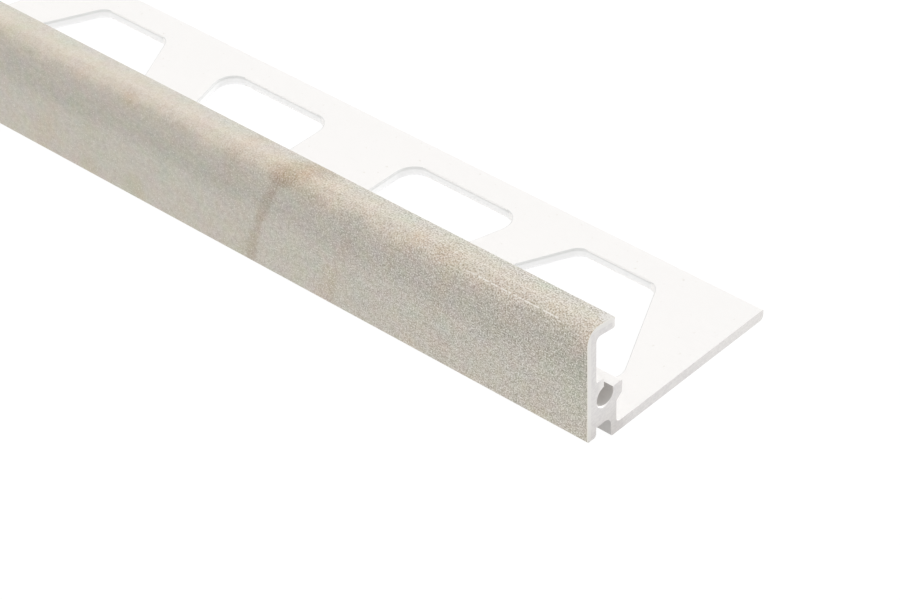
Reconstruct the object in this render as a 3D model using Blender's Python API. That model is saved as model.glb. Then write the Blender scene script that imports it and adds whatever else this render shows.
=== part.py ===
"""Tile edge trim: one extruded PVC section with a face wall, a lip, a key channel and a punched flange.

The trim lies flange down. X runs along the stock, Y from the face wall to the flange's back edge, Z is up.
The origin is at the middle of the footprint, on the underside of the flange. Units are metres.
"""

from math import asin, atan2, cos, pi, radians, sin, tan

import bmesh
import bpy

# Stock and outside of the section
LENGTH = 1.83
HEIGHT = 0.01268
FLANGE_REACH = 0.0237
FLANGE_THICK = 0.00103
FLANGE_TOP_ROUND = 0.00015
FLANGE_UNDER_ROUND = 0.00045

# Face wall and lip, which leans down from its crown at the rounded edge to its tip
WALL_THICK = 0.00114
WALL_FOOT_LIFT = 0.00112
WALL_FOOT_FACE_ROUND = 0.00028
WALL_FOOT_SLOT_ROUND = 0.00035
EDGE_ROUND = 0.0014
LIP_DROOP = radians(7.2)
LIP_DEPTH = 0.0035
LIP_THICK = 0.00113
LIP_TIP_ROUND = 0.0002
LIP_INNER_ROUND = 0.0005

# Slot under the key channel, open downwards
SLOT_WIDTH = 0.0019
SLOT_ROOF_ABOVE_WALL_FOOT = 0.001
SLOT_ROUND = 0.00075
SLOT_BACK_ROUND = 0.00025

# Key channel that the pin of a corner piece slides into, open at its upper back
KEY_RADIUS = 0.00104
KEY_SIDE_SKIN = 0.00011
KEY_FLOOR = 0.00172
KEY_ARM_LENGTH = 0.00098
KEY_ARM_THICK = 0.0009
KEY_ARM_ROUND = 0.0001
KEY_ARM_FILLET = 0.0002
HOOK_THICK = 0.00114
HOOK_RISE = 0.00034
HOOK_DEPTH = 0.00123
HOOK_ROUND = 0.0002
HOOK_SLOPE_DROP = 0.0006
WAIST_THICK = 0.00042
WAIST_FILLET = 0.0005

# Windows punched through the flange: a trapeze, then two that each slant on one side, and so on
FIRST_WINDOW = 0.00925
END_STRIP = 0.003
BACK_STRIP = 0.0032
FRONT_STRIP = 0.0032
TRAPEZE_BACK = 0.00865
TRAPEZE_SLANT = radians(26.0)
TRAPEZE_ROUND = 0.0015
HALF_SLANT_BACK = 0.01385
HALF_SLANT = radians(16.0)
HALF_SLANT_ROUND = 0.002
BAR_AFTER_TRAPEZE = 0.0065
BAR_BETWEEN_HALF_SLANTS = 0.01015
BAR_BEFORE_TRAPEZE = 0.00835
CUTTER_OVERRUN = 0.001

# Fineness of the curves
EDGE_SEGMENTS = 8
KEY_SEGMENTS = 20
CORNER_SEGMENTS = 3


def arc(centre, radius, start, turn, segments):
    """Points on an arc that turns from the start angle, both ends included."""
    points = []
    for i in range(segments + 1):
        angle = start + turn * i / segments
        points.append((centre[0] + radius * cos(angle), centre[1] + radius * sin(angle)))
    return points


def rounded(corners):
    """A closed outline from corners given as across, up and radius, each turned into an arc."""
    points = []
    for i, (across, up, radius) in enumerate(corners):
        if not radius:
            points.append((across, up))
            continue
        before = corners[i - 1]
        after = corners[(i + 1) % len(corners)]
        heading_in = atan2(up - before[1], across - before[0])
        heading_out = atan2(after[1] - up, after[0] - across)
        turn = (heading_out - heading_in + pi) % (2 * pi) - pi
        side = 1 if turn > 0 else -1
        setback = radius * tan(abs(turn) / 2)
        start = (across - setback * cos(heading_in), up - setback * sin(heading_in))
        centre = (start[0] - side * radius * sin(heading_in), start[1] + side * radius * cos(heading_in))
        points.extend(arc(centre, radius, heading_in - side * pi / 2, turn, CORNER_SEGMENTS))
    return points


def lip_top(across):
    """Height of the lip's flat top at a distance behind the wall's outer face."""
    flat_start = EDGE_ROUND * (1 + sin(LIP_DROOP))
    fall_on_edge = EDGE_ROUND * (1 - cos(LIP_DROOP))
    return HEIGHT - fall_on_edge - (across - flat_start) * tan(LIP_DROOP)


def section():
    """The extruded outline, from the wall's outer face back and from the flange's underside up."""
    slot_back = WALL_THICK + SLOT_WIDTH
    slot_roof = WALL_FOOT_LIFT + SLOT_ROOF_ABOVE_WALL_FOOT
    lip_drop = LIP_THICK / cos(LIP_DROOP)

    key_across = WALL_THICK + KEY_SIDE_SKIN + KEY_RADIUS
    key_up = slot_roof + KEY_FLOOR + KEY_RADIUS
    key_back = key_across + KEY_RADIUS
    arm_tip = WALL_THICK + KEY_ARM_LENGTH
    arm_top = key_up + KEY_RADIUS + KEY_ARM_THICK
    hook_back = key_back + HOOK_THICK
    hook_top = key_up + HOOK_RISE
    hook_bottom = hook_top - HOOK_DEPTH
    waist_back = key_back + WAIST_THICK

    # The bore is followed clockwise, from the hook's tip round under the arm
    hook_angle = asin(HOOK_RISE / KEY_RADIUS)
    arm_angle = pi / 2 + asin((key_across - arm_tip) / KEY_RADIUS)
    bore_turn = -(2 * pi - (arm_angle - hook_angle))
    bore = arc((key_across, key_up), KEY_RADIUS, hook_angle, bore_turn, KEY_SEGMENTS)
    edge_centre = (EDGE_ROUND, HEIGHT - EDGE_ROUND)
    edge = arc(edge_centre, EDGE_ROUND, pi / 2 - LIP_DROOP, pi / 2 + LIP_DROOP, EDGE_SEGMENTS)

    corners = [
        (0.0, WALL_FOOT_LIFT, WALL_FOOT_FACE_ROUND),
        (WALL_THICK, WALL_FOOT_LIFT, WALL_FOOT_SLOT_ROUND),
        (WALL_THICK, slot_roof, 0.0),
        (slot_back, slot_roof, SLOT_ROUND),
        (slot_back, 0.0, SLOT_BACK_ROUND),
        (FLANGE_REACH, 0.0, FLANGE_UNDER_ROUND),
        (FLANGE_REACH, FLANGE_THICK, FLANGE_TOP_ROUND),
        (waist_back, FLANGE_THICK, WAIST_FILLET),
        (waist_back, hook_bottom - HOOK_SLOPE_DROP, 0.0),
        (hook_back, hook_bottom, HOOK_ROUND),
        (hook_back, hook_top, HOOK_ROUND),
    ]
    corners += [(across, up, 0.0) for across, up in bore]
    corners += [
        (arm_tip, arm_top, KEY_ARM_ROUND),
        (WALL_THICK, arm_top, KEY_ARM_FILLET),
        (WALL_THICK, lip_top(WALL_THICK) - lip_drop, LIP_INNER_ROUND),
        (LIP_DEPTH, lip_top(LIP_DEPTH) - lip_drop, LIP_TIP_ROUND),
        (LIP_DEPTH, lip_top(LIP_DEPTH), LIP_TIP_ROUND),
    ]
    corners += [(across, up, 0.0) for across, up in edge]
    return rounded(corners), hook_back


def windows(front):
    """Outlines of the punched windows, measured from the near end and from the wall's outer face."""
    back = FLANGE_REACH - BACK_STRIP
    depth = back - front
    trapeze_spread = depth * tan(TRAPEZE_SLANT)
    half_spread = depth * tan(HALF_SLANT)

    # Each shape: width at the back, how far its near and far front corners move out, rounding, bar after it
    shapes = [
        (TRAPEZE_BACK, trapeze_spread, trapeze_spread, TRAPEZE_ROUND, BAR_AFTER_TRAPEZE),
        (HALF_SLANT_BACK, -half_spread, 0.0, HALF_SLANT_ROUND, BAR_BETWEEN_HALF_SLANTS),
        (HALF_SLANT_BACK, 0.0, -half_spread, HALF_SLANT_ROUND, BAR_BEFORE_TRAPEZE),
    ]
    outlines = []
    near = FIRST_WINDOW
    while True:
        width, near_out, far_out, radius, bar = shapes[len(outlines) % len(shapes)]
        far = near + width
        if far + max(far_out, 0.0) + END_STRIP > LENGTH:
            return outlines
        outlines.append(
            rounded([
                (near - near_out, front, radius),
                (far + far_out, front, radius),
                (far, back, radius),
                (near, back, radius),
            ])
        )
        near = far + bar


def prism(bm, points, push):
    """Add a flat face through the points and push it along a vector into a closed solid."""
    face = bm.faces.new([bm.verts.new(point) for point in points])
    moved = bmesh.ops.extrude_face_region(bm, geom=[face], use_keep_orig=True)
    verts = [item for item in moved["geom"] if isinstance(item, bmesh.types.BMVert)]
    bmesh.ops.translate(bm, verts=verts, vec=push)


def object_from(bm, name):
    """Close a bmesh into a named object in the scene."""
    bmesh.ops.recalc_face_normals(bm, faces=bm.faces)
    mesh = bpy.data.meshes.new(name)
    bm.to_mesh(mesh)
    bm.free()
    made = bpy.data.objects.new(name, mesh)
    bpy.context.scene.collection.objects.link(made)
    return made


def white_pvc():
    """Rigid white PVC with a low sheen."""
    material = bpy.data.materials.new("white_pvc")
    material.use_nodes = True
    shader = material.node_tree.nodes["Principled BSDF"]
    shader.inputs["Base Color"].default_value = (0.86, 0.85, 0.82, 1.0)
    shader.inputs["Roughness"].default_value = 0.42
    shader.inputs["Metallic"].default_value = 0.0
    return material


for old in list(bpy.data.objects):
    bpy.data.objects.remove(old, do_unlink=True)

near_end = LENGTH / 2
outer_face = -FLANGE_REACH / 2

# The extruded bar
outline, hook_back = section()
stock = bmesh.new()
prism(stock, [(near_end, outer_face + across, up) for across, up in outline], (-LENGTH, 0.0, 0.0))
trim = object_from(stock, "trim_profile")
trim.data.materials.append(white_pvc())

# The punch tool's windows
punch = bmesh.new()
for window in windows(hook_back + FRONT_STRIP):
    base = [(near_end - along, outer_face + across, -CUTTER_OVERRUN) for along, across in window]
    prism(punch, base, (0.0, 0.0, FLANGE_THICK + 2 * CUTTER_OVERRUN))
cutter = object_from(punch, "window_punch")
cutter.hide_render = True
cutter.display_type = "WIRE"

cut = trim.modifiers.new("punched_windows", "BOOLEAN")
cut.operation = "DIFFERENCE"
cut.solver = "EXACT"
cut.object = cutter

trim.data.shade_smooth()
trim.data.set_sharp_from_angle(angle=radians(30))
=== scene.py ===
"""Tile edge trim on a pale floor: a punched white PVC bar with a stone-effect film over its face and lip.

X runs along the bar towards the near end, Y from the face wall to the flange's back edge, Z is up. Metres.
"""

from math import asin, cos, pi, radians, sin, tan

import bmesh
import bpy
from mathutils import Matrix, Vector


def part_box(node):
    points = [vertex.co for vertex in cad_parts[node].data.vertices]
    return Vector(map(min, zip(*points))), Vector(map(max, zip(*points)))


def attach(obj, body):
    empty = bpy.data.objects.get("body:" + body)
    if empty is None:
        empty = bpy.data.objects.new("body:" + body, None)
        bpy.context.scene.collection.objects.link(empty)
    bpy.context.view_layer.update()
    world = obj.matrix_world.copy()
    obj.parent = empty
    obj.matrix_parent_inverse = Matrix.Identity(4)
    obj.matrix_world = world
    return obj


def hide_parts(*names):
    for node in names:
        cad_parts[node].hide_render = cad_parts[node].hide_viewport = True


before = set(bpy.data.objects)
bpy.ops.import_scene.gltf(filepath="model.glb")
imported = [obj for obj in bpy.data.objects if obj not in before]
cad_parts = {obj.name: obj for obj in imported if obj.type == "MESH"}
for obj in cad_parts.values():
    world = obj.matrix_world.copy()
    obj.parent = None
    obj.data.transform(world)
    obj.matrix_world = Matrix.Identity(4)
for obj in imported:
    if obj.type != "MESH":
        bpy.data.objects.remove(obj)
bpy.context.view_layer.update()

# Trim body
# One bar of rigid white PVC, pushed through a die: a face wall with a lip, a key channel and a thin flange.
# The windows are punched through the flange afterwards, and the bar is sawn to length.
bar_low, bar_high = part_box("trim_profile")
near_end = bar_high.x
bar_length = bar_high.x - bar_low.x
outer_face = bar_low.y
flange_reach = bar_high.y - bar_low.y
crown = bar_high.z

FILM_THICK = 0.00008
FLANGE_THICK = 0.00103
FLANGE_TOP_ROUND = 0.00015
FLANGE_UNDER_ROUND = 0.00045
WALL_THICK = 0.00114
WALL_FOOT_LIFT = 0.00112
WALL_FOOT_FACE_ROUND = 0.00028
WALL_FOOT_SLOT_ROUND = 0.00035
EDGE_ROUND = 0.0014
LIP_DROOP = radians(7.2)
LIP_DEPTH = 0.0035
LIP_THICK = 0.00113
LIP_TIP_ROUND = 0.0002
LIP_INNER_ROUND = 0.0005
SLOT_WIDTH = 0.0019
SLOT_ROOF = 0.00212
SLOT_ROUND = 0.00075
SLOT_BACK_ROUND = 0.00025
KEY_RADIUS = 0.00104
KEY_SIDE_SKIN = 0.00011
KEY_FLOOR = 0.00172
KEY_ARM_LENGTH = 0.00098
KEY_ARM_THICK = 0.0009
KEY_ARM_ROUND = 0.0001
KEY_ARM_FILLET = 0.0002
HOOK_THICK = 0.00114
HOOK_RISE = 0.00034
HOOK_DEPTH = 0.00123
HOOK_ROUND = 0.0002
HOOK_SLOPE_DROP = 0.0006
WAIST_THICK = 0.00042
WAIST_FILLET = 0.0005
ROUND_SEGMENTS = 6
BORE_STEPS = 56

key_across = WALL_THICK + KEY_SIDE_SKIN + KEY_RADIUS
key_up = SLOT_ROOF + KEY_FLOOR + KEY_RADIUS
key_back = key_across + KEY_RADIUS
arm_tip = WALL_THICK + KEY_ARM_LENGTH
arm_top = key_up + KEY_RADIUS + KEY_ARM_THICK
hook_back = key_back + HOOK_THICK
hook_top = key_up + HOOK_RISE
hook_bottom = hook_top - HOOK_DEPTH
waist_back = key_back + WAIST_THICK
slot_back = WALL_THICK + SLOT_WIDTH
lip_drop = LIP_THICK / cos(LIP_DROOP)
film_drop = FILM_THICK / cos(LIP_DROOP)
hook_angle = asin(HOOK_RISE / KEY_RADIUS)
arm_angle = pi / 2 + asin((key_across - arm_tip) / KEY_RADIUS)


def lip_top(across):
    """Height of the lip's flat top at a distance behind the outer face."""
    flat_start = EDGE_ROUND * (1 + sin(LIP_DROOP))
    fall_on_edge = EDGE_ROUND * (1 - cos(LIP_DROOP))
    return crown - fall_on_edge - (across - flat_start) * tan(LIP_DROOP)


def at_near_end(across, up):
    """A place on the sawn end, from the outer face back and from the floor up."""
    return Vector((near_end, outer_face + across, up))


def outline(section, corners):
    """Draw a run of edges through corners given as across, up and rounding, and return its points."""
    points = [section.verts.new(at_near_end(across, up)) for across, up, _ in corners]
    for first, second in zip(points, points[1:]):
        section.edges.new((first, second))
    return points


def round_corners(section, points, radii, segments):
    """Turn each point of a flat outline that has a radius into an arc."""
    arcs = []
    for i, (point, radius) in enumerate(zip(points, radii)):
        if radius:
            back = points[i - 1].co - point.co
            ahead = points[(i + 1) % len(points)].co - point.co
            arcs.append((point, radius / tan(back.angle(ahead) / 2)))
    for point, setback in arcs:
        bmesh.ops.bevel(
            section, geom=[point], offset=setback, offset_type="OFFSET", affect="VERTICES",
            segments=segments, profile=0.5, material=-1,
        )


def push(section, vector):
    """Extrude the flat faces of a section into a solid."""
    moved = bmesh.ops.extrude_face_region(section, geom=section.faces[:], use_keep_orig=True)
    verts = [item for item in moved["geom"] if isinstance(item, bmesh.types.BMVert)]
    bmesh.ops.translate(section, verts=verts, vec=vector)
    bmesh.ops.recalc_face_normals(section, faces=section.faces[:])


def add_object(section, name):
    """Put a finished bmesh into the scene under a name."""
    mesh = bpy.data.meshes.new(name)
    section.to_mesh(mesh)
    section.free()
    made = bpy.data.objects.new(name, mesh)
    bpy.context.scene.collection.objects.link(made)
    return made


body_corners = [
    (arm_tip, key_up + KEY_RADIUS * sin(arm_angle), 0.0),
    (arm_tip, arm_top, KEY_ARM_ROUND),
    (WALL_THICK, arm_top, KEY_ARM_FILLET),
    (WALL_THICK, lip_top(WALL_THICK) - lip_drop, LIP_INNER_ROUND),
    (LIP_DEPTH, lip_top(LIP_DEPTH) - lip_drop, LIP_TIP_ROUND),
    (LIP_DEPTH - FILM_THICK, lip_top(LIP_DEPTH - FILM_THICK) - film_drop, LIP_TIP_ROUND - FILM_THICK),
    (FILM_THICK, lip_top(FILM_THICK) - film_drop, EDGE_ROUND - FILM_THICK),
    (FILM_THICK, WALL_FOOT_LIFT + FILM_THICK, WALL_FOOT_FACE_ROUND - FILM_THICK),
    (WALL_THICK, WALL_FOOT_LIFT, WALL_FOOT_SLOT_ROUND),
    (WALL_THICK, SLOT_ROOF, 0.0),
    (slot_back, SLOT_ROOF, SLOT_ROUND),
    (slot_back, 0.0, SLOT_BACK_ROUND),
    (flange_reach, 0.0, FLANGE_UNDER_ROUND),
    (flange_reach, FLANGE_THICK, FLANGE_TOP_ROUND),
    (waist_back, FLANGE_THICK, WAIST_FILLET),
    (waist_back, hook_bottom - HOOK_SLOPE_DROP, 0.0),
    (hook_back, hook_bottom, HOOK_ROUND),
    (hook_back, hook_top, HOOK_ROUND),
    (key_across + KEY_RADIUS * cos(hook_angle), hook_top, 0.0),
]
stock = bmesh.new()
stock_points = outline(stock, body_corners)
# The bore is swung round its axis from the hook's inner edge to under the arm
swung = bmesh.ops.spin(
    stock, geom=[stock_points[-1]], cent=at_near_end(key_across, key_up), axis=(1.0, 0.0, 0.0),
    angle=arm_angle - hook_angle - 2 * pi, steps=BORE_STEPS,
)
bmesh.ops.weld_verts(stock, targetmap={swung["geom_last"][0]: stock_points[0]})
bmesh.ops.contextual_create(stock, geom=stock.edges[:])
round_corners(stock, stock_points, [radius for _, _, radius in body_corners], ROUND_SEGMENTS)
push(stock, (-bar_length, 0.0, 0.0))
trim_body = add_object(stock, "trim_body")

FIRST_WINDOW = 0.00925
END_STRIP = 0.003
BACK_STRIP = 0.0032
FRONT_STRIP = 0.0032
TRAPEZE_BACK = 0.00865
TRAPEZE_SLANT = radians(26.0)
TRAPEZE_ROUND = 0.0015
HALF_SLANT_BACK = 0.01385
HALF_SLANT = radians(16.0)
HALF_SLANT_ROUND = 0.002
BAR_AFTER_TRAPEZE = 0.0065
BAR_BETWEEN_HALF_SLANTS = 0.01015
BAR_BEFORE_TRAPEZE = 0.00835
RIM_ROUND = 0.0001
BREAKOUT_ROUND = 0.00025
WINDOW_SEGMENTS = 10
PUNCH_OVERRUN = 0.001

window_front = hook_back + FRONT_STRIP
window_back = flange_reach - BACK_STRIP
trapeze_spread = (window_back - window_front) * tan(TRAPEZE_SLANT)
half_spread = (window_back - window_front) * tan(HALF_SLANT)

# Each shape: width at the back, how far its near and far front corners move out, rounding, bar after it
window_shapes = [
    (TRAPEZE_BACK, trapeze_spread, trapeze_spread, TRAPEZE_ROUND, BAR_AFTER_TRAPEZE),
    (HALF_SLANT_BACK, -half_spread, 0.0, HALF_SLANT_ROUND, BAR_BETWEEN_HALF_SLANTS),
    (HALF_SLANT_BACK, 0.0, -half_spread, HALF_SLANT_ROUND, BAR_BEFORE_TRAPEZE),
]
punch = bmesh.new()
window_near = FIRST_WINDOW
window_count = 0
while True:
    width, near_out, far_out, radius, bar_after = window_shapes[window_count % len(window_shapes)]
    window_far = window_near + width
    if window_far + max(far_out, 0.0) + END_STRIP > bar_length:
        break
    points = [
        punch.verts.new((near_end - along, outer_face + across, -PUNCH_OVERRUN))
        for along, across in (
            (window_near - near_out, window_front),
            (window_far + far_out, window_front),
            (window_far, window_back),
            (window_near, window_back),
        )
    ]
    punch.faces.new(points)
    round_corners(punch, points, [radius] * len(points), WINDOW_SEGMENTS)
    window_near = window_far + bar_after
    window_count += 1
push(punch, (0.0, 0.0, FLANGE_THICK + 2 * PUNCH_OVERRUN))
window_punch = add_object(punch, "window_punch")

punching = trim_body.modifiers.new("punched_windows", "BOOLEAN")
punching.operation = "DIFFERENCE"
punching.solver = "EXACT"
punching.object = window_punch
punched = bmesh.new()
punched.from_object(trim_body, bpy.context.evaluated_depsgraph_get())
trim_body.modifiers.remove(punching)
bpy.data.objects.remove(window_punch)

# The punch dulls each window's top rim and breaks out rounder underneath
AT_LEVEL = 1e-6
for level, round_off in ((FLANGE_THICK, RIM_ROUND), (0.0, BREAKOUT_ROUND)):
    rims = [
        edge for edge in punched.edges
        if all(abs(vert.co.z - level) < AT_LEVEL for vert in edge.verts)
        and all(
            window_front - AT_LEVEL < vert.co.y - outer_face < window_back + AT_LEVEL
            for vert in edge.verts
        )
        and min(abs(face.normal.z) for face in edge.link_faces) < 0.5
    ]
    bmesh.ops.bevel(
        punched, geom=rims, offset=round_off, offset_type="OFFSET", affect="EDGES",
        segments=3, profile=0.5, material=-1,
    )

# The saw's burr is scraped off the bore's mouth, most at the bottom towards the face wall
MOUTH_SCRAPE = 0.00013
SCRAPE_LEAST = 0.05
SCRAPE_WAY = Vector((0.0, -0.5, -0.87))
bore_axis = at_near_end(key_across, key_up)


def from_bore(place):
    """How far a place lies from the bore's axis."""
    return (place - bore_axis).yz.length


for scrape_end in (near_end - MOUTH_SCRAPE, near_end - bar_length + MOUTH_SCRAPE):
    bore_walls = [face for face in punched.faces if from_bore(face.calc_center_median()) < KEY_RADIUS]
    bore_edges = {edge for face in bore_walls for edge in face.edges}
    bore_verts = {vert for face in bore_walls for vert in face.verts}
    bmesh.ops.bisect_plane(
        punched, geom=[*bore_verts, *bore_edges, *bore_walls],
        plane_co=(scrape_end, 0.0, 0.0), plane_no=(1.0, 0.0, 0.0),
    )
for vert in punched.verts:
    inwards = near_end - abs(vert.co.x)
    if inwards < MOUTH_SCRAPE + AT_LEVEL and abs(from_bore(vert.co) - KEY_RADIUS) < AT_LEVEL:
        outwards = (vert.co - bore_axis) * Vector((0.0, 1.0, 1.0))
        outwards.normalize()
        share = max(outwards.dot(SCRAPE_WAY), 0.0) ** 2
        if inwards < AT_LEVEL:
            vert.co += outwards * MOUTH_SCRAPE * share
        else:
            vert.co.x *= (near_end - MOUTH_SCRAPE * max(share, SCRAPE_LEAST)) / abs(vert.co.x)

# Each face gets its finish; the windows' sides that look to the far end get no painted shade at the rim and
# stay as plain as the flange
SQUARE_ON = 0.999
TO_FAR_END = -0.3
SHARP_ANGLE = radians(32)
SKIN, SAWN, PUNCHED, SHADED_CHANNEL = range(4)
for face in punched.faces:
    middle = face.calc_center_median()
    across = middle.y - outer_face
    in_window = (
        window_front - AT_LEVEL < across < window_back + AT_LEVEL
        and AT_LEVEL < middle.z < FLANGE_THICK - AT_LEVEL
    )
    in_slot = (
        WALL_THICK - AT_LEVEL < across < slot_back + SLOT_BACK_ROUND
        and AT_LEVEL < middle.z < SLOT_ROOF + AT_LEVEL
    )
    if abs(face.normal.x) > SQUARE_ON and abs(abs(middle.x) - near_end) < AT_LEVEL:
        face.material_index = SAWN
    elif in_window and face.normal.x > TO_FAR_END:
        face.material_index = PUNCHED
    # The bore and the slot take the colour of painted shade
    elif in_slot or from_bore(middle) < KEY_RADIUS + AT_LEVEL:
        face.material_index = SHADED_CHANNEL
    else:
        face.material_index = SKIN
punched.to_mesh(trim_body.data)
punched.free()
trim_body.data.shade_smooth()
trim_body.data.set_sharp_from_angle(angle=SHARP_ANGLE)
flat_faces = trim_body.modifiers.new("flat_faces", "WEIGHTED_NORMAL")
flat_faces.keep_sharp = True


def new_material(name, roughness):
    """A material with a Principled shader of the given roughness, its node tree and its shader."""
    material = bpy.data.materials.new(name)
    material.use_nodes = True
    shader = material.node_tree.nodes["Principled BSDF"]
    shader.inputs["Roughness"].default_value = roughness
    return material, material.node_tree, shader


def feed(tree, socket, value):
    """Connect a node's output to a socket, or set the socket to a plain value."""
    if isinstance(value, bpy.types.NodeSocket):
        tree.links.new(value, socket)
    else:
        socket.default_value = value


def noise(tree, vector, per_metre, detail=2.0, roughness=0.5):
    """Noise between about 0.3 and 0.7, with so many grains to the metre."""
    node = tree.nodes.new("ShaderNodeTexNoise")
    feed(tree, node.inputs["Vector"], vector)
    node.inputs["Scale"].default_value = per_metre
    node.inputs["Detail"].default_value = detail
    node.inputs["Roughness"].default_value = roughness
    return node.outputs["Fac"]


def ramp(tree, value, low, high, out_low=0.0, out_high=1.0):
    """Value as it goes from low to high, smoothly, as out_low to out_high."""
    node = tree.nodes.new("ShaderNodeMapRange")
    node.interpolation_type = "SMOOTHSTEP"
    feed(tree, node.inputs["Value"], value)
    node.inputs["From Min"].default_value = low
    node.inputs["From Max"].default_value = high
    node.inputs["To Min"].default_value = out_low
    node.inputs["To Max"].default_value = out_high
    return node.outputs["Result"]


def maths(tree, operation, first, second=0.0):
    """One arithmetic step on two values."""
    node = tree.nodes.new("ShaderNodeMath")
    node.operation = operation
    feed(tree, node.inputs[0], first)
    feed(tree, node.inputs[1], second)
    return node.outputs["Value"]


def blend(tree, factor, first, second, mode="MIX"):
    """Mix two colours by a factor."""
    node = tree.nodes.new("ShaderNodeMix")
    node.data_type = "RGBA"
    node.blend_type = mode
    feed(tree, node.inputs["Factor"], factor)
    feed(tree, node.inputs["A"], first)
    feed(tree, node.inputs["B"], second)
    return node.outputs["Result"]


def stretched(tree, scale, turn=(0.0, 0.0, 0.0)):
    """Object coordinates, scaled and turned, so that a pattern on them is drawn out along one way."""
    place = tree.nodes.new("ShaderNodeTexCoord").outputs["Object"]
    node = tree.nodes.new("ShaderNodeMapping")
    feed(tree, node.inputs["Vector"], place)
    node.inputs["Scale"].default_value = scale
    node.inputs["Rotation"].default_value = turn
    return node.outputs["Vector"]


def dent(tree, shader, height, distance):
    """Give a shader the bumps of a height that goes from 0 to 1 over a distance in metres."""
    node = tree.nodes.new("ShaderNodeBump")
    node.inputs["Distance"].default_value = distance
    feed(tree, node.inputs["Height"], height)
    tree.links.new(node.outputs["Normal"], shader.inputs["Normal"])


PVC_WHITE = (0.90, 0.885, 0.87, 1.0)
PVC_SPECK = (0.70, 0.66, 0.60, 1.0)
# The sawn end's grey tones are darker than the skin partly as painted shade
PVC_CORE = (0.69, 0.67, 0.655, 1.0)
PVC_CORE_DARK = (0.625, 0.605, 0.60, 1.0)
PVC_OUTER = (0.71, 0.695, 0.67, 1.0)
PVC_SHEARED = (0.87, 0.87, 0.87, 1.0)
# Painted shade along the top of each window's wall
PVC_RIM_SHADE = (0.72, 0.725, 0.715, 1.0)
PVC_BREAKOUT = (0.95, 0.95, 0.95, 1.0)
# Painted shade inside the bore, darker still in the slot
PVC_CHANNEL_SHADE = (0.555, 0.535, 0.515, 1.0)
PVC_SLOT_SHADE = (0.50, 0.485, 0.47, 1.0)
# Painted shade at the sawn end's foot
PVC_FOOT_SHADE = (0.84, 0.825, 0.81, 1.0)
# Paler places on the sawn end; near the arm's top this is a painted highlight
PVC_PALE_AND_LIT = (0.775, 0.755, 0.73, 1.0)
SPECKS_PER_METRE = 1900.0
DIE_LINES_PER_METRE = 3500.0
DIE_LINE_DEPTH = 0.00001


def die_skin():
    """White PVC as it leaves the die: faint drawn lines along the bar and a few tiny specks."""
    material, tree, shader = new_material("white_pvc_skin", 0.38)
    evenly = stretched(tree, (1.0, 1.0, 1.0))
    specks = ramp(tree, noise(tree, evenly, SPECKS_PER_METRE, 3.0), 0.66, 0.76, 0.0, 0.5)
    feed(tree, shader.inputs["Base Color"], blend(tree, specks, PVC_WHITE, PVC_SPECK))
    lines = noise(tree, stretched(tree, (0.02, 1.0, 1.0)), DIE_LINES_PER_METRE)
    dent(tree, shader, lines, DIE_LINE_DEPTH)
    return material


def split(tree, vector):
    """A vector's three parts."""
    node = tree.nodes.new("ShaderNodeSeparateXYZ")
    feed(tree, node.inputs["Vector"], vector)
    return node.outputs["X"], node.outputs["Y"], node.outputs["Z"]


# Where the sawn end shows its outer layer, its foot darkened by painted shade, a painted highlight near the
# arm's top, and paler places at the lip's tip and towards the flange's back
OUTER_LAYER = 0.00055
FOOT_SHADE_HEIGHT = 0.0042
FOOT_SHADE_REACH = 0.006
FOOT_SHADE_FULL_REACH = 0.0035
ARM_HIGHLIGHT_FROM = 0.0018
ARM_HIGHLIGHT_FULL = 0.0008
FLANGE_WHITENED = 0.011
FLANGE_FULLY_WHITENED = 0.020
SCRATCHES_PER_METRE = 9000.0
SCRATCH_SLANT = radians(24)
SCRATCH_DEPTH = 0.00003
CORE_MOTTLES_PER_METRE = 3500.0


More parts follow.
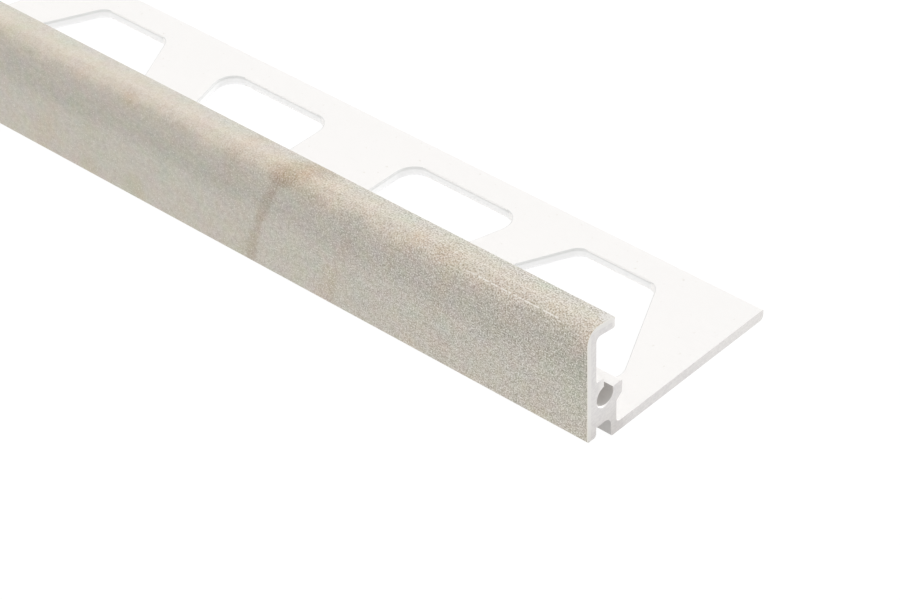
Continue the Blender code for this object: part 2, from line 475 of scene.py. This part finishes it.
def sawn_end():
    """The saw cut across the bar: a dull grey core, darker than the skin partly as painted shade, a paler
    outer layer, a foot darkened by painted shade and a painted highlight near the arm's top.
    """
    material, tree, shader = new_material("white_pvc_sawn", 0.6)
    evenly = stretched(tree, (1.0, 1.0, 1.0))
    _, y, z = split(tree, evenly)
    behind_face = maths(tree, "SUBTRACT", y, outer_face)
    leaned = maths(tree, "ADD", z, maths(tree, "MULTIPLY", behind_face, tan(LIP_DROOP)))
    below_lip = maths(tree, "SUBTRACT", lip_top(0.0), leaned)
    depth = maths(tree, "MINIMUM", behind_face, below_lip)
    outer_layer = ramp(tree, depth, OUTER_LAYER, OUTER_LAYER * 0.8)
    drawn_out = stretched(tree, (1.0, 0.12, 1.0), (SCRATCH_SLANT, 0.0, 0.0))
    scratches = noise(tree, drawn_out, SCRATCHES_PER_METRE, 3.0)
    mottles = noise(tree, evenly, CORE_MOTTLES_PER_METRE, 3.0)
    wear = maths(tree, "MULTIPLY", maths(tree, "ADD", scratches, mottles), 0.5)
    core = blend(tree, ramp(tree, wear, 0.40, 0.58), PVC_CORE_DARK, PVC_CORE)
    colour = blend(tree, outer_layer, core, PVC_OUTER)
    # Painted shade: the sawn end darker towards its foot near the face wall
    foot_shade = maths(
        tree, "MULTIPLY",
        ramp(tree, z, FOOT_SHADE_HEIGHT, 0.0), ramp(tree, behind_face, FOOT_SHADE_REACH, FOOT_SHADE_FULL_REACH),
    )
    colour = blend(tree, foot_shade, colour, PVC_FOOT_SHADE, "MULTIPLY")
    # Painted highlight: the arm's end paler towards its top; the lip's tip and the flange's back are paler
    # too
    from_arm = maths(tree, "ABSOLUTE", maths(tree, "SUBTRACT", z, arm_top))
    arm_highlight = maths(
        tree, "MULTIPLY",
        ramp(tree, from_arm, ARM_HIGHLIGHT_FROM, ARM_HIGHLIGHT_FULL), ramp(tree, behind_face, WALL_THICK, arm_tip),
    )
    on_tip = maths(
        tree, "MULTIPLY",
        ramp(tree, z, arm_top, crown), ramp(tree, behind_face, LIP_DEPTH * 0.85, LIP_DEPTH),
    )
    on_flange = ramp(tree, behind_face, FLANGE_WHITENED, FLANGE_FULLY_WHITENED, 0.0, 0.4)
    pale_and_lit = maths(tree, "MAXIMUM", maths(tree, "MAXIMUM", arm_highlight, on_tip), on_flange)
    feed(tree, shader.inputs["Base Color"], blend(tree, pale_and_lit, colour, PVC_PALE_AND_LIT))
    dent(tree, shader, scratches, SCRATCH_DEPTH)
    return material


# How high on a window's wall the painted shade at the rim and the pale breakout start and show fully
RIM_SHADE_FROM = FLANGE_THICK * 0.66
RIM_SHADE_FULLY = FLANGE_THICK * 0.84
BREAKOUT_TOP = FLANGE_THICK * 0.45
BREAKOUT_FULLY = FLANGE_THICK * 0.1
SHEAR_LINES_PER_METRE = 6000.0
SHEAR_LINE_DEPTH = 0.00001


def punched_wall():
    """A window's wall: darker towards its rim as painted shade, sheared smooth, and broken out pale at the
    bottom.
    """
    material, tree, shader = new_material("white_pvc_punched", 0.5)
    _, _, z = split(tree, stretched(tree, (1.0, 1.0, 1.0)))
    # Painted shade: the wall darker towards its top rim
    rim = ramp(tree, z, RIM_SHADE_FROM, RIM_SHADE_FULLY)
    breakout = ramp(tree, z, BREAKOUT_TOP, BREAKOUT_FULLY)
    colour = blend(tree, breakout, PVC_SHEARED, PVC_BREAKOUT)
    feed(tree, shader.inputs["Base Color"], blend(tree, rim, colour, PVC_RIM_SHADE))
    shear_lines = noise(tree, stretched(tree, (1.0, 1.0, 0.08)), SHEAR_LINES_PER_METRE)
    dent(tree, shader, shear_lines, SHEAR_LINE_DEPTH)
    return material


CHANNEL_STREAKS_PER_METRE = 2500.0
CHANNEL_STREAK_DEPTH = 0.00002


def channel_shade():
    """The inside of the bore and the slot: dull, because no sizing die touches it, and darkened by painted
    shade, most in the slot.
    """
    material, tree, shader = new_material("white_pvc_channel_shade", 0.6)
    streaks = noise(tree, stretched(tree, (0.03, 1.0, 1.0)), CHANNEL_STREAKS_PER_METRE)
    _, _, z = split(tree, stretched(tree, (1.0, 1.0, 1.0)))
    # Painted shade: darker still low in the slot
    in_slot = ramp(tree, z, SLOT_ROOF + KEY_FLOOR, SLOT_ROOF)
    feed(tree, shader.inputs["Base Color"], blend(tree, in_slot, PVC_CHANNEL_SHADE, PVC_SLOT_SHADE))
    dent(tree, shader, streaks, CHANNEL_STREAK_DEPTH)
    return material


for finish in (die_skin, sawn_end, punched_wall, channel_shade):
    trim_body.data.materials.append(finish())
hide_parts("trim_profile")
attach(trim_body, "root")

# Stone film
# A thin printed decor film with a stone look, laid hot over the wall's outer face, the edge and the lip.
# It wraps round the wall's foot and the lip's tip, and its fine emboss breaks up the print's gloss.
FILM_WRAP = 0.0001

film_end = lip_top(LIP_DEPTH) - LIP_TIP_ROUND - FILM_WRAP
film_corners = [
    (WALL_FOOT_FACE_ROUND + FILM_WRAP, WALL_FOOT_LIFT, 0.0),
    (0.0, WALL_FOOT_LIFT, WALL_FOOT_FACE_ROUND),
    (0.0, lip_top(0.0), EDGE_ROUND),
    (LIP_DEPTH, lip_top(LIP_DEPTH), LIP_TIP_ROUND),
    (LIP_DEPTH, film_end, 0.0),
    (LIP_DEPTH - FILM_THICK, film_end, 0.0),
    (LIP_DEPTH - FILM_THICK, lip_top(LIP_DEPTH - FILM_THICK) - film_drop, LIP_TIP_ROUND - FILM_THICK),
    (FILM_THICK, lip_top(FILM_THICK) - film_drop, EDGE_ROUND - FILM_THICK),
    (FILM_THICK, WALL_FOOT_LIFT + FILM_THICK, WALL_FOOT_FACE_ROUND - FILM_THICK),
    (WALL_FOOT_FACE_ROUND + FILM_WRAP, WALL_FOOT_LIFT + FILM_THICK, 0.0),
]
film = bmesh.new()
girth = film.verts.layers.float.new("girth")
bake_map = film.loops.layers.uv.new("OFBake")
film_points = outline(film, film_corners)
film_start = film_points[0]
film.faces.new(film_points)
round_corners(film, film_points, [radius for _, _, radius in film_corners], ROUND_SEGMENTS * 2)

# How far each point lies along the outline from the foot, which the printed pattern follows round the edge
loop = film_start.link_loops[0]
walked = 0.0
while True:
    loop.vert[girth] = walked
    walked += loop.edge.calc_length()
    loop = loop.link_loop_next
    if loop.vert == film_start:
        break
outer_girth = film_points[4][girth]
whole_girth = walked
push(film, (-bar_length, 0.0, 0.0))

# The film is cut crosswise for its bake map and laid out in rows, its outside drawn largest
BAKE_ROWS = 11
ROWS_SHARE = 0.98
OUTSIDE_SHARE = 0.86
ROW_GAP = 0.03
MAP_MARGIN = 0.004
END_MARGIN = 0.01
END_LENGTH = 0.48
END_DEPTH = 0.012
row_length = bar_length / BAKE_ROWS
for row in range(1, BAKE_ROWS):
    bmesh.ops.bisect_plane(
        film, geom=film.verts[:] + film.edges[:] + film.faces[:],
        plane_co=(near_end - row * row_length, 0.0, 0.0), plane_no=(1.0, 0.0, 0.0),
    )


def in_row(place, around, row, outside):
    """Where a point of the film's long faces lies in the bake map."""
    if outside:
        up = around / outer_girth * OUTSIDE_SHARE
    else:
        inner_share = (around - outer_girth) / (whole_girth - outer_girth)
        up = OUTSIDE_SHARE + ROW_GAP + inner_share * (1 - OUTSIDE_SHARE - 2 * ROW_GAP)
    along = (near_end - place.x) / row_length - row
    return MAP_MARGIN + (1 - 2 * MAP_MARGIN) * along, (row + up) / BAKE_ROWS * ROWS_SHARE


PRINT_FACE, FILM_CUT_FACE = range(2)
for face in film.faces:
    middle = face.calc_center_median()
    if abs(face.normal.x) > SQUARE_ON:
        face.material_index = FILM_CUT_FACE
        # The two cut ends lie side by side above the rows
        side = 0.5 if middle.x < 0.0 else 0.0
        for loop in face.loops:
            up = side + END_MARGIN + END_LENGTH * loop.vert.co.z / crown
            back = END_DEPTH * (loop.vert.co.y - outer_face) / LIP_DEPTH
            loop[bake_map].uv = (up, ROWS_SHARE + MAP_MARGIN + back)
        continue
    face.material_index = PRINT_FACE
    places_round = [loop.vert[girth] for loop in face.loops]
    closes = max(places_round) - min(places_round) > whole_girth / 2
    outside = not closes and max(places_round) < outer_girth + AT_LEVEL
    row = int((near_end - middle.x) / row_length)
    for loop in face.loops:
        around = loop.vert[girth]
        if closes and around < whole_girth / 2:
            around = whole_girth
        loop[bake_map].uv = in_row(loop.vert.co, around, row, outside)
stone_film = add_object(film, "stone_film")
stone_film.data.shade_smooth()
stone_film.data.set_sharp_from_angle(angle=SHARP_ANGLE)

# The print repeats along the bar, and its patterns are sized by how many grains lie in a metre
PRINT_REPEAT = 0.305
STREAK_SLOPE = 0.333
STREAK_SQUEEZE = 0.25
STREAKS_PER_METRE = 280.0
CLOUDS_PER_METRE = 210.0
BAND_WANDER = 0.0011
BAND_WANDERS_PER_METRE = 260.0
TINTS_PER_METRE = 600.0
MOTTLES_PER_METRE = 2000.0
GRAIN_SIZE = 0.000147
GRAIN_FADE = (0.0, 0.055)
GRAIN_COARSER = (0.010, 0.0114)
EMBOSS_DEPTH = 0.00002

# The print's tones, by how far round the film they lie from the wall's foot
PRINT_BANDS = [
    (0.0000, (0.553, 0.508, 0.433, 1.0)),
    (0.0057, (0.526, 0.491, 0.426, 1.0)),
    (0.0077, (0.460, 0.425, 0.367, 1.0)),
    (0.0094, (0.476, 0.438, 0.377, 1.0)),
    (0.0104, (0.505, 0.458, 0.389, 1.0)),
    (0.0110, (0.570, 0.513, 0.433, 1.0)),
    (0.0116, (0.690, 0.614, 0.514, 1.0)),
    (0.0123, (0.694, 0.620, 0.524, 1.0)),
    (0.0135, (0.647, 0.596, 0.513, 1.0)),
    (0.0142, (0.622, 0.592, 0.527, 1.0)),
]
WARM_TINT = (1.0, 0.95, 0.90, 1.0)
GREEN_TINT = (0.94, 0.98, 0.96, 1.0)
VEIN_TINT = (0.85, 0.80, 0.74, 1.0)
DARK_GRAIN = (0.62, 0.60, 0.57, 1.0)
PALE_GRAIN = (0.86, 0.83, 0.76, 1.0)
FILM_CUT = (0.75, 0.73, 0.67, 1.0)
# Painted highlight: the glint along the film's rounded edge
GLINT_TONE = (0.88, 0.84, 0.77, 1.0)
# A paler grey patch at the lip's near corner
PALE_CORNER_TONE = (0.74, 0.72, 0.69, 1.0)

# The painted highlight line and the pale patch at the lip's corner: each pair is where it starts to show and
# where it shows fully
GLINT_HEIGHT = 0.01158
GLINT_HALF_WIDTH = (0.00009, 0.00003)
GLINT_MIDDLE = 0.008
GLINT_HALF_LENGTH = (0.0058, 0.0044)
GLINT_GAPS_PER_METRE = 2000.0
CORNER_LENGTH = (0.0020, 0.0002)
CORNER_HEIGHT = (0.0128, 0.0140)

# The print's veins lean, the more so the higher up, wobble, and spread out over the rounded edge
VEIN_LEAN = 0.20
VEIN_LEAN_GAIN = 19.0
VEIN_WOBBLE = 0.00055
VEIN_WOBBLES_PER_METRE = 800.0
VEIN_SPREADS = (0.0098, 0.0122)
VEIN_SPREAD = 3.2

# For each vein: how far from the near end it meets the foot, its half width, strength and top
PRINT_VEINS = [
    (0.0294, 0.0007, 0.6, 0.004),
    (0.0391, 0.0009, 1.0, 0.020),
    (0.0970, 0.0016, 0.5, 0.020),
    (0.1430, 0.0012, 0.9, 0.020),
    (0.2050, 0.0018, 0.4, 0.020),
    (0.2480, 0.0010, 0.9, 0.020),
    (0.2860, 0.0016, 0.4, 0.020),
]

# The print's soft stains: place along and round the film, half length, half height and tint
PRINT_STAINS = [
    (0.0344, 0.0113, 0.0026, 0.0013, (0.98, 0.93, 0.90, 1.0)),
    (0.0322, 0.0126, 0.0056, 0.0032, (1.0, 0.95, 0.91, 1.0)),
    (0.0163, 0.0122, 0.0014, 0.0024, (0.93, 0.88, 0.83, 1.0)),
    (0.0265, 0.0082, 0.0014, 0.0016, (0.95, 0.90, 0.92, 1.0)),
    (0.0535, 0.0112, 0.0016, 0.0016, (0.93, 0.88, 0.82, 1.0)),
    (0.0535, 0.0014, 0.0020, 0.0018, (0.94, 0.94, 0.87, 1.0)),
    (0.0600, 0.0013, 0.0020, 0.0018, (0.94, 0.94, 0.87, 1.0)),
    (0.0190, 0.0123, 0.0016, 0.0014, (1.0, 0.94, 0.93, 1.0)),
    (0.0165, 0.0023, 0.0018, 0.0016, (1.0, 0.95, 0.94, 1.0)),
    (0.0005, 0.0070, 0.0050, 0.0050, (0.95, 0.99, 0.96, 1.0)),
]


def band_tones(tree, girth_along):
    """The print's bands along the bar."""
    node = tree.nodes.new("ShaderNodeValToRGB")
    reach = PRINT_BANDS[-1][0]
    tree.links.new(maths(tree, "DIVIDE", girth_along, reach), node.inputs["Fac"])
    stops = node.color_ramp.elements
    while len(stops) < len(PRINT_BANDS):
        stops.new(1.0)
    for stop, (place, tone) in zip(stops, PRINT_BANDS):
        stop.position = place / reach
        stop.color = tone
    return node.outputs["Color"]


def plane(tree, first, second):
    """A flat pair of coordinates as a vector."""
    node = tree.nodes.new("ShaderNodeCombineXYZ")
    feed(tree, node.inputs["X"], first)
    feed(tree, node.inputs["Y"], second)
    return node.outputs["Vector"]


def offset(tree, value, factor, shift):
    """A value times a factor, plus a shift."""
    node = maths(tree, "MULTIPLY_ADD", value, factor).node
    node.inputs[2].default_value = shift
    return node.outputs["Value"]


def length_of(tree, vector):
    """How long a vector is."""
    node = tree.nodes.new("ShaderNodeVectorMath")
    node.operation = "LENGTH"
    feed(tree, node.inputs[0], vector)
    return node.outputs["Value"]


def stone_print():
    """Stone-effect print: grains, mottles, slanted streaks, bands along the bar and soft brown veins."""
    material, tree, shader = new_material("stone_print", 0.45)
    x, _, _ = split(tree, tree.nodes.new("ShaderNodeTexCoord").outputs["Object"])
    round_film = tree.nodes.new("ShaderNodeAttribute")
    round_film.attribute_name = "girth"
    up = round_film.outputs["Fac"]
    along = maths(tree, "SUBTRACT", near_end, x)
    flat = plane(tree, along, up)
    slanted = plane(
        tree, maths(tree, "ADD", along, maths(tree, "MULTIPLY", up, STREAK_SLOPE)),
        maths(tree, "MULTIPLY", up, STREAK_SQUEEZE),
    )

    # Bands with slightly wandering edges
    wander = offset(
        tree, noise(tree, slanted, BAND_WANDERS_PER_METRE, 3.0), 2 * BAND_WANDER, -BAND_WANDER
    )
    colour = band_tones(tree, maths(tree, "ADD", up, wander))

    # Slanted streaks and clouds
    streaks = noise(tree, slanted, STREAKS_PER_METRE, 1.5)
    colour = blend(tree, ramp(tree, streaks, 0.50, 0.74, 0.0, 0.9), colour, WARM_TINT, "MULTIPLY")
    clouds = noise(tree, flat, CLOUDS_PER_METRE)
    colour = blend(tree, ramp(tree, clouds, 0.50, 0.68, 0.0, 0.9), colour, GREEN_TINT, "MULTIPLY")

    # Veins
    repeat = maths(tree, "MODULO", along, PRINT_REPEAT)
    lean = maths(tree, "MULTIPLY", up, offset(tree, up, VEIN_LEAN_GAIN, VEIN_LEAN))
    wobble = offset(
        tree, noise(tree, flat, VEIN_WOBBLES_PER_METRE, 3.0, 0.6), 2 * VEIN_WOBBLE, -VEIN_WOBBLE
    )
    vein_place = maths(tree, "ADD", maths(tree, "ADD", repeat, lean), wobble)
    spread = ramp(tree, up, *VEIN_SPREADS, 1.0, VEIN_SPREAD)
    for foot, half_width, strength, top in PRINT_VEINS:
        off = maths(tree, "ABSOLUTE", maths(tree, "SUBTRACT", vein_place, foot))
        share = maths(tree, "DIVIDE", off, maths(tree, "MULTIPLY", spread, half_width))
        showing = maths(
            tree, "MULTIPLY", ramp(tree, share, 1.0, 0.2, 0.0, strength), ramp(tree, up, top, top * 0.7)
        )
        colour = blend(tree, showing, colour, VEIN_TINT, "MULTIPLY")

    # Stains
    for place, height, half_length, half_height, tint in PRINT_STAINS:
        away = plane(
            tree, offset(tree, repeat, 1.0 / half_length, -place / half_length),
            offset(tree, up, 1.0 / half_height, -height / half_height),
        )
        ragged = maths(tree, "ADD", length_of(tree, away), offset(tree, streaks, 1.6, -0.8))
        colour = blend(tree, ramp(tree, ragged, 1.0, 0.1), colour, tint, "MULTIPLY")

    # Faintly coloured mottles and grain, both plainer towards the middle of the print
    fade = maths(tree, "PINGPONG", along, PRINT_REPEAT / 2)
    tints = noise(tree, flat, TINTS_PER_METRE, 1.5, 0.6).node.outputs["Color"]
    colour = blend(tree, 0.15, colour, tints, "SOFT_LIGHT")
    mottles = noise(tree, flat, MOTTLES_PER_METRE, 2.0, 0.6)
    colour = blend(tree, ramp(tree, fade, *GRAIN_FADE, 1.0, 0.45), colour, mottles, "SOFT_LIGHT")
    grain = noise(tree, flat, 1.0 / GRAIN_SIZE, 1.5, 0.6)
    force = maths(
        tree, "MULTIPLY", ramp(tree, fade, *GRAIN_FADE, 1.0, 0.2), ramp(tree, up, *GRAIN_COARSER, 1.0, 1.25)
    )
    dark = maths(tree, "MULTIPLY", ramp(tree, grain, 0.52, 0.32), force)
    pale = maths(tree, "MULTIPLY", ramp(tree, grain, 0.50, 0.70, 0.0, 0.8), force)
    colour = blend(tree, dark, colour, DARK_GRAIN, "MULTIPLY")
    colour = blend(tree, pale, colour, PALE_GRAIN)

    # Painted highlight: a broken glint line along the edge; and a paler grey patch at the lip's near corner
    beside = maths(tree, "ABSOLUTE", maths(tree, "SUBTRACT", up, GLINT_HEIGHT))
    glint_across = ramp(tree, beside, *GLINT_HALF_WIDTH)
    past = maths(tree, "ABSOLUTE", maths(tree, "SUBTRACT", along, GLINT_MIDDLE))
    run = ramp(tree, past, *GLINT_HALF_LENGTH)
    broken = ramp(tree, noise(tree, plane(tree, along, 0.0), GLINT_GAPS_PER_METRE), 0.42, 0.52)
    painted_glint = maths(tree, "MULTIPLY", maths(tree, "MULTIPLY", glint_across, run), broken)
    colour = blend(tree, painted_glint, colour, GLINT_TONE)
    corner = maths(
        tree, "MULTIPLY", ramp(tree, along, *CORNER_LENGTH), ramp(tree, up, *CORNER_HEIGHT)
    )
    pale_patch = ramp(tree, maths(tree, "ADD", corner, offset(tree, grain, 3.0, -1.5)), 0.35, 0.75, 0.0, 0.8)
    colour = blend(tree, pale_patch, colour, PALE_CORNER_TONE)
    feed(tree, shader.inputs["Base Color"], colour)
    dent(tree, shader, grain, EMBOSS_DEPTH)
    return material


stone_film.data.materials.append(stone_print())
film_cut, _, cut_shader = new_material("stone_film_cut", 0.6)
cut_shader.inputs["Base Color"].default_value = FILM_CUT
stone_film.data.materials.append(film_cut)
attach(stone_film, "root")

# Studio
# A pale floor lit so brightly that it photographs white, under a soft dome that is brighter overhead.
# A low, broad lamp behind the flange lights the window walls that face it and the top of the key channel.
FLOOR_SIZE = 80.0
FLOOR_TONE = (0.06, 0.06, 0.06, 1.0)
FLOOR_GLOW = 0.97
DOME_HORIZON = 0.603
DOME_ZENITH = 1.098
SUN_STRENGTH = 1.3
SUN_AZIMUTH = radians(68)
SUN_HEIGHT = radians(15)
SUN_BREADTH = radians(25)

paper = bmesh.new()
bmesh.ops.create_grid(paper, x_segments=1, y_segments=1, size=FLOOR_SIZE / 2)
floor = add_object(paper, "floor")
paper_white, _, paper_shader = new_material("paper_white", 0.9)
paper_shader.inputs["Base Color"].default_value = FLOOR_TONE
paper_shader.inputs["Specular IOR Level"].default_value = 0.0
paper_shader.inputs["Emission Color"].default_value = (1.0, 1.0, 1.0, 1.0)
paper_shader.inputs["Emission Strength"].default_value = FLOOR_GLOW
floor.data.materials.append(paper_white)

dome = bpy.data.worlds.new("dome")
dome.use_nodes = True
dome_tree = dome.node_tree
sky_way = dome_tree.nodes.new("ShaderNodeSeparateXYZ")
dome_tree.links.new(
    dome_tree.nodes.new("ShaderNodeTexCoord").outputs["Generated"], sky_way.inputs["Vector"]
)
dome_tree.nodes["Background"].inputs["Color"].default_value = (1.0, 1.0, 1.0, 1.0)
dome_tree.links.new(
    ramp(dome_tree, sky_way.outputs["Z"], 0.0, 1.0, DOME_HORIZON, DOME_ZENITH),
    dome_tree.nodes["Background"].inputs["Strength"],
)
bpy.context.scene.world = dome
sunlight = bpy.data.lights.new("sun", "SUN")
sunlight.energy = SUN_STRENGTH
sunlight.angle = SUN_BREADTH
sun = bpy.data.objects.new("sun", sunlight)
sun_way = Vector((cos(SUN_HEIGHT) * cos(SUN_AZIMUTH), cos(SUN_HEIGHT) * sin(SUN_AZIMUTH), sin(SUN_HEIGHT)))
sun.rotation_euler = sun_way.to_track_quat("Z", "Y").to_euler()
bpy.context.scene.collection.objects.link(sun)
bpy.context.scene.view_settings.view_transform = "Standard"

# Camera
# A long lens above the near end, looking down along the bar's face.
PHOTO_WIDTH = 900
FOCAL_PIXELS = 3263.7
SENSOR_WIDTH = 36.0
CAMERA_PLACE = Vector((1.04685, -0.16906, 0.17509))
CAMERA_RIGHT = Vector((0.74417, 0.66749, -0.02572))
CAMERA_UP = Vector((-0.39358, 0.46926, 0.79050))

lens = bpy.data.cameras.new("camera")
lens.sensor_fit = "HORIZONTAL"
lens.sensor_width = SENSOR_WIDTH
lens.lens = FOCAL_PIXELS * SENSOR_WIDTH / PHOTO_WIDTH
lens.clip_start = 0.01
lens.clip_end = 200.0
camera = bpy.data.objects.new("camera", lens)
turned = Matrix((CAMERA_RIGHT, CAMERA_UP, CAMERA_RIGHT.cross(CAMERA_UP))).transposed().to_4x4()
camera.matrix_world = Matrix.Translation(CAMERA_PLACE) @ turned
bpy.context.scene.collection.objects.link(camera)
bpy.context.scene.camera = camera
